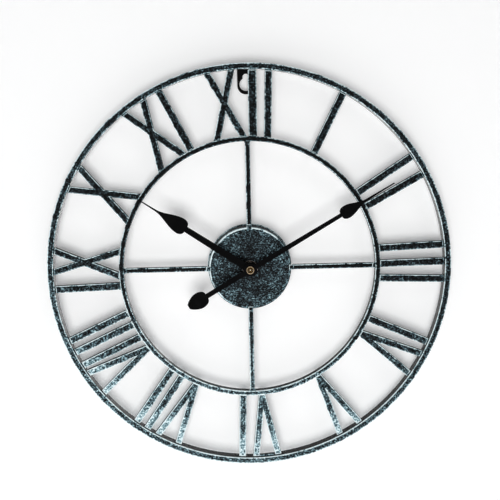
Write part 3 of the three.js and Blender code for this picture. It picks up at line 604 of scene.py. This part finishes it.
black_enamel = satin_black("black_enamel")
bm = copied("hanger_plate")
worn_edges(bm, 0.22 * MM, 0.4 * MM, 2)
finished(bm, "keyhole_hanger", black_enamel, "frame", "black_steel", ["hanger_plate"])
plate_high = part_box("hanger_plate")[1]
HANGER_WELD = Vector((0, 0, 3.4 * MM))
welds = bmesh.new()
for side in (-1, 1):
    start = Vector((side * (plate_high.x + 0.2 * MM), ring_high.y, plate_high.z - 3.8 * MM))
    weld_bead(welds, start, start + HANGER_WELD)
bmesh.ops.recalc_face_normals(welds, faces=welds.faces)
finished(welds, "hanger_welds", black_enamel, "frame", "black_steel")

# ---------- Movement case ----------
# The quartz movement's case, moulded in black plastic, with a round shaft boss in front and
# its battery bay open at the back. It hangs inside the cup on its threaded bush.


def moulded(name, colour, lighter, roughness=0.5, grain=1500):
    """Plastic with the fine spark-eroded grain of its mould and slight flow marks."""
    material, nodes, links, shader = new_material(name)
    spark = object_noise(nodes, links, grain, 2, 0.6)
    flow = object_noise(nodes, links, 70, 3, 0.6, (1, 1, 0.35))
    links.new(mixed(nodes, links, ranged(nodes, links, flow, 0.35, 0.7), colour, lighter),
              shader.inputs["Base Color"])
    links.new(ranged(nodes, links, spark, 0.3, 0.7, roughness - 0.08, roughness + 0.1),
              shader.inputs["Roughness"])
    bumped(nodes, links, shader, spark, 0.05 * MM, 0.4)
    return material


black_plastic = moulded("black_moulded_plastic", (0.006, 0.0065, 0.0075), (0.015, 0.016, 0.017))
bm = copied("movement_case")
worn_edges(bm, 0.16 * MM, 0.3 * MM, 2)
finished(bm, "case", black_plastic, "frame", "black_plastic", ["movement_case"])

# ---------- Thread of the bush ----------
# Turned rings stand for the fine thread that the mounting nut runs on.
BUSH_RADIUS = 4 * MM
THREAD_PITCH = 0.5 * MM
THREAD_DEPTH = 0.18 * MM
bush_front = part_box("movement_case")[0].y
thread_front = bush_front + 0.15 * MM
turns = int((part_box("mounting_nut")[0].y - bush_front - 0.4 * MM) / THREAD_PITCH)
core = BUSH_RADIUS - 0.3 * MM
crest = BUSH_RADIUS + 0.12 * MM
outline = [(core, thread_front + turns * THREAD_PITCH), (core, thread_front)]
for turn in range(turns):
    depth = thread_front + turn * THREAD_PITCH
    outline += [(crest - THREAD_DEPTH, depth), (crest, depth + THREAD_PITCH / 2)]
outline.append((crest - THREAD_DEPTH, depth + THREAD_PITCH))
finished(spun(outline, 48), "bush_thread", black_plastic, "frame", "black_plastic")

# ---------- Back cover ----------
# A moulded lid snapped over the gear room. Raised on it are a ring round the setting knob
# and a grip of short ribs.
cover_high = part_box("movement_cover")[1]
knob_low, knob_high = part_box("setting_knob")
bm = copied("movement_cover")
worn_edges(bm, 0.2 * MM, 0.3 * MM, 2)
finished(bm, "back_cover", black_plastic, "frame", "black_plastic", ["movement_cover"])


def block(bm, size, turn, place):
    """A block added to a bmesh, turned about the axis from front to back."""
    verts = bmesh.ops.create_cube(bm, size=1)["verts"]
    bmesh.ops.scale(bm, verts=verts, vec=size)
    bmesh.ops.rotate(bm, verts=verts, cent=(0, 0, 0), matrix=Matrix.Rotation(turn, 3, "Y"))
    bmesh.ops.translate(bm, verts=verts, vec=place)


RELIEF = 0.5 * MM
LINE = 0.7 * MM
RIBS, RIB_STEP, RIB_LENGTH = 7, 1.6 * MM, 13 * MM
RING_RADIUS, RING_BLOCKS, BLOCK_LENGTH = 6.6 * MM, 48, 0.86 * MM
relief = bmesh.new()
relief_height = cover_high.y + RELIEF / 2
for index in range(RIBS):
    block(relief, (RIB_LENGTH, RELIEF, LINE), 0,
          (12 * MM, relief_height, cover_high.z - 5 * MM - index * RIB_STEP))
around_knob = Vector(((knob_low.x + knob_high.x) / 2, relief_height,
                      (knob_low.z + knob_high.z) / 2))
for index in range(RING_BLOCKS):
    turn = 2 * math.pi * index / RING_BLOCKS
    if math.cos(2 * turn) < 0.9:
        outwards = Vector((math.sin(turn), 0, math.cos(turn)))
        block(relief, (BLOCK_LENGTH, RELIEF, LINE), turn,
              around_knob + outwards * RING_RADIUS)
bmesh.ops.bevel(relief, geom=list(relief.edges), offset=0.12 * MM, segments=2, profile=0.5,
                affect="EDGES", material=-1)
finished(relief, "cover_relief", black_plastic, "frame", "black_plastic")

# ---------- Setting knob ----------
# A small ridged knob of white acetal on the motion wheel's arbor.
white_plastic = moulded("white_moulded_acetal", (0.74, 0.72, 0.66), (0.8, 0.79, 0.74), 0.4)
bm = copied("setting_knob")
worn_edges(bm, 0.2 * MM, 0.3 * MM, 2)
finished(bm, "knob", white_plastic, "motion_wheel", "white_plastic", ["setting_knob"])

# ---------- Battery ----------
# An alkaline cell in a plain two-tone jacket whose shrunk ends turn over the steel cup.
cell_low, cell_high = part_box("battery")
cell = (cell_low + cell_high) / 2
CELL_RADIUS = (cell_high.z - cell_low.z) / 2
BUTTON_RADIUS = 2.75 * MM
BUTTON_LENGTH = 1 * MM
BAND_LENGTH = 15 * MM


def cell_part(outline, steps=64):
    """A closed outline of (along, radius) pairs turned about the cell's axis."""
    return turned([(x, cell.y, cell.z + radius) for x, radius in outline], cell, (1, 0, 0), steps)


jacket, nodes, links, shader = new_material("battery_jacket")
place = nodes.new("ShaderNodeSeparateXYZ")
links.new(nodes.new("ShaderNodeTexCoord").outputs["Object"], place.inputs["Vector"])
band = maths(nodes, links, "GREATER_THAN", place.outputs["X"], cell_high.x - BAND_LENGTH)
print_grain = object_noise(nodes, links, 1100, 2, 0.5)
scuffs = object_noise(nodes, links, 180, 5, 0.7, (0.3, 1, 1))
two_tone = mixed(nodes, links, band, (0.018, 0.034, 0.06), (0.5, 0.52, 0.54))
scuffed = mixed(nodes, links, ranged(nodes, links, scuffs, 0.6, 0.72, 0, 0.35), two_tone,
                (0.3, 0.31, 0.33))
links.new(scuffed, shader.inputs["Base Color"])
links.new(ranged(nodes, links, scuffs, 0.3, 0.7, 0.24, 0.42), shader.inputs["Roughness"])
shader.inputs["Metallic"].default_value = 0.55
bumped(nodes, links, shader, print_grain, 0.03 * MM, 0.3)
shoulder = cell_high.x - BUTTON_LENGTH
bm = cell_part([
    (cell_low.x + 0.25 * MM, 5.4 * MM), (cell_low.x, 5.7 * MM),
    (cell_low.x, CELL_RADIUS - 0.5 * MM), (cell_low.x + 0.5 * MM, CELL_RADIUS),
    (shoulder - 0.5 * MM, CELL_RADIUS), (shoulder, CELL_RADIUS - 0.5 * MM),
    (shoulder, 5.5 * MM), (shoulder - 0.25 * MM, 5.2 * MM),
])
finished(bm, "battery_sleeve", jacket, "battery", "battery_jacket", ["battery"])

plated, nodes, links, shader = new_material("nickel_plate")
scratches = object_noise(nodes, links, 700, 4, 0.7, (0.15, 1, 1))
links.new(mixed(nodes, links, ranged(nodes, links, scratches, 0.4, 0.7),
                (0.62, 0.62, 0.61), (0.42, 0.42, 0.41)), shader.inputs["Base Color"])
links.new(ranged(nodes, links, scratches, 0.3, 0.7, 0.2, 0.4), shader.inputs["Roughness"])
shader.inputs["Metallic"].default_value = 1
bumped(nodes, links, shader, scratches, 0.03 * MM, 0.3)
bm = cell_part([
    (cell_low.x + 0.35 * MM, 0), (cell_low.x + 0.35 * MM, 5.35 * MM),
    (shoulder - 0.35 * MM, 5.15 * MM), (shoulder - 0.35 * MM, 3.4 * MM),
    (shoulder - 0.1 * MM, BUTTON_RADIUS + 0.3 * MM), (shoulder + 0.1 * MM, BUTTON_RADIUS),
    (cell_high.x - 0.35 * MM, BUTTON_RADIUS), (cell_high.x, BUTTON_RADIUS - 0.45 * MM),
    (cell_high.x, 0),
])
finished(bm, "battery_cell", plated, "battery", "plated_steel")

# ---------- Battery contacts ----------
# Sprung strips of plated steel in slots at both ends of the bay, each with a pressed pip.
for pole in ("positive", "negative"):
    bm = copied("battery_contact_" + pole)
    worn_edges(bm, 0.1 * MM, 0.2 * MM, 2)
    finished(bm, "contact_strip_" + pole, plated, "frame", "plated_steel",
             ["battery_contact_" + pole])

# ---------- Gear train, motor and circuit ----------
# They are closed in by the case and its cover: acetal wheels, a brass minute arbor, a magnet
# rotor in an iron stator, the drive coil, and the board with its quartz crystal.


def faced(node, material):
    """Gives a CAD node its finish."""
    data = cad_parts[node].data
    data.materials.clear()
    data.materials.append(material)


for node in ("hour_wheel", "motion_wheel", "centre_wheel", "third_wheel", "seconds_wheel",
             "intermediate_wheel"):
    faced(node, white_plastic)
faced("train_plate", black_plastic)
for node in ("rotor", "stator", "quartz_crystal"):
    faced(node, plated)

copper, nodes, links, shader = new_material("enamelled_copper_winding")
windings = nodes.new("ShaderNodeTexWave")
windings.bands_direction = "Z"
windings.inputs["Scale"].default_value = 1300
windings.inputs["Distortion"].default_value = 0.6
links.new(nodes.new("ShaderNodeTexCoord").outputs["Object"], windings.inputs["Vector"])
links.new(mixed(nodes, links, windings.outputs["Fac"], (0.24, 0.08, 0.03), (0.62, 0.27, 0.11)),
          shader.inputs["Base Color"])
shader.inputs["Metallic"].default_value = 0.8
shader.inputs["Roughness"].default_value = 0.35
bumped(nodes, links, shader, windings.outputs["Fac"], 0.08 * MM, 0.7)
faced("drive_coil", copper)

solder_mask, nodes, links, shader = new_material("green_solder_mask")
tracks = nodes.new("ShaderNodeTexBrick")
tracks.inputs["Scale"].default_value = 160
tracks.inputs["Mortar Size"].default_value = 0.06
tracks.inputs["Color1"].default_value = (0.012, 0.075, 0.03, 1)
tracks.inputs["Color2"].default_value = (0.016, 0.09, 0.036, 1)
tracks.inputs["Mortar"].default_value = (0.05, 0.19, 0.08, 1)
upright = nodes.new("ShaderNodeMapping")
upright.inputs["Rotation"].default_value = (math.radians(90), 0, 0)
links.new(nodes.new("ShaderNodeTexCoord").outputs["Object"], upright.inputs["Vector"])
links.new(upright.outputs["Vector"], tracks.inputs["Vector"])
links.new(tracks.outputs["Color"], shader.inputs["Base Color"])
shader.inputs["Roughness"].default_value = 0.3
bumped(nodes, links, shader, tracks.outputs["Fac"], 0.05 * MM, 0.5)
faced("circuit_board", solder_mask)

# ---------- Gasket, washer and mounting nut ----------
# A rubber ring pads the movement inside the cup. In front a brass washer and a hexagon nut
# on the bush clamp them together.
rubber = moulded("black_rubber", (0.012, 0.012, 0.012), (0.03, 0.03, 0.03), 0.8, 700)
dull_brass, nodes, links, shader = new_material("dulled_brass")
oxide = object_noise(nodes, links, 500, 3, 0.65)
edge_lightening = maths(nodes, links, "MULTIPLY", wear_and_highlight_value(nodes),
               ranged(nodes, links, oxide, 0.3, 0.6, 0.3, 1))
links.new(mixed(nodes, links, edge_lightening, (0.012, 0.009, 0.006), (0.6, 0.52, 0.47)),
          shader.inputs["Base Color"])
links.new(ranged(nodes, links, oxide, 0.3, 0.7, 0.5, 0.7), shader.inputs["Roughness"])
shader.inputs["Metallic"].default_value = 0.7
bumped(nodes, links, shader, oxide, 0.05 * MM, 0.4)
for name, node, material, slot in (
        ("gasket", "rubber_gasket", rubber, "rubber"),
        ("washer", "mounting_washer", dull_brass, "brass")):
    low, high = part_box(node)
    bm = spun([(BUSH_HOLE, low.y), (high.x, low.y), (high.x, high.y), (BUSH_HOLE, high.y)], 96)
    worn_edges(bm, 0.15 * MM, 0.3 * MM, 2)
    finished(bm, name, material, "frame", slot, [node])

bm = copied("mounting_nut")
worn_edges(bm, 0.35 * MM, 0.4 * MM)
finished(bm, "hexagon_nut", dull_brass, "frame", "brass", ["mounting_nut"])

# ---------- Hands ----------
# Stamped from 0.6 mm sheet and enamelled black. The hour hand's collet grips the hour pipe,
# and the minute hand sits on the minute arbor under its nut.
hand_enamel = satin_black("hand_enamel", 0.6)
for hand in ("hour_hand", "minute_hand"):
    bm = copied(hand)
    worn_edges(bm, 0.12 * MM, 0.3 * MM, 2)
    finished(bm, hand.replace("_hand", "_blade"), hand_enamel, hand, "black_steel", [hand])

# ---------- Minute nut ----------
# A small dished nut of brass: its rim is bright, its dish has tarnished, and the arbor's end
# shows in the middle of it.
cap_low, cap_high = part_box("minute_nut")
cap_radius = cap_high.x
ARBOR_HOLE = 2.2 * MM
DISH_RADIUS = 2.85 * MM
nut_brass, nodes, links, shader = new_material("nut_brass")
tarnish = object_noise(nodes, links, 900, 3, 0.6)
turning = object_noise(nodes, links, 2600, 2, 0.5)
bare = maths(nodes, links, "MULTIPLY", wear_and_highlight_value(nodes),
             ranged(nodes, links, tarnish, 0.25, 0.5, 0.6, 1))
links.new(mixed(nodes, links, bare, (0.05, 0.024, 0.002), (0.36, 0.27, 0.17)),
          shader.inputs["Base Color"])
links.new(ranged(nodes, links, turning, 0.3, 0.7, 0.45, 0.6), shader.inputs["Roughness"])
shader.inputs["Metallic"].default_value = 0.85
bumped(nodes, links, shader, turning, 0.02 * MM, 0.4)
bm = spun([
    (ARBOR_HOLE, cap_high.y), (cap_radius - 0.2 * MM, cap_high.y),
    (cap_radius, cap_high.y - 0.2 * MM), (cap_radius, cap_low.y + 0.4 * MM),
    (cap_radius - 0.35 * MM, cap_low.y), (DISH_RADIUS + 0.2 * MM, cap_low.y),
    (DISH_RADIUS, cap_low.y + 0.25 * MM), (ARBOR_HOLE, cap_low.y + 1 * MM),
], 96)
worn_edges(bm, 0.06 * MM, 0.15 * MM, 2)
wear_and_highlight = bm.verts.layers.float["wear_and_highlight"]
for vert in bm.verts:
    vert[wear_and_highlight] = 1 if (vert.co - dial).xz.length > DISH_RADIUS + 0.1 * MM else 0
finished(bm, "minute_hand_nut", nut_brass, "minute_hand", "brass", ["minute_nut"])
faced("minute_arbor", nut_brass)
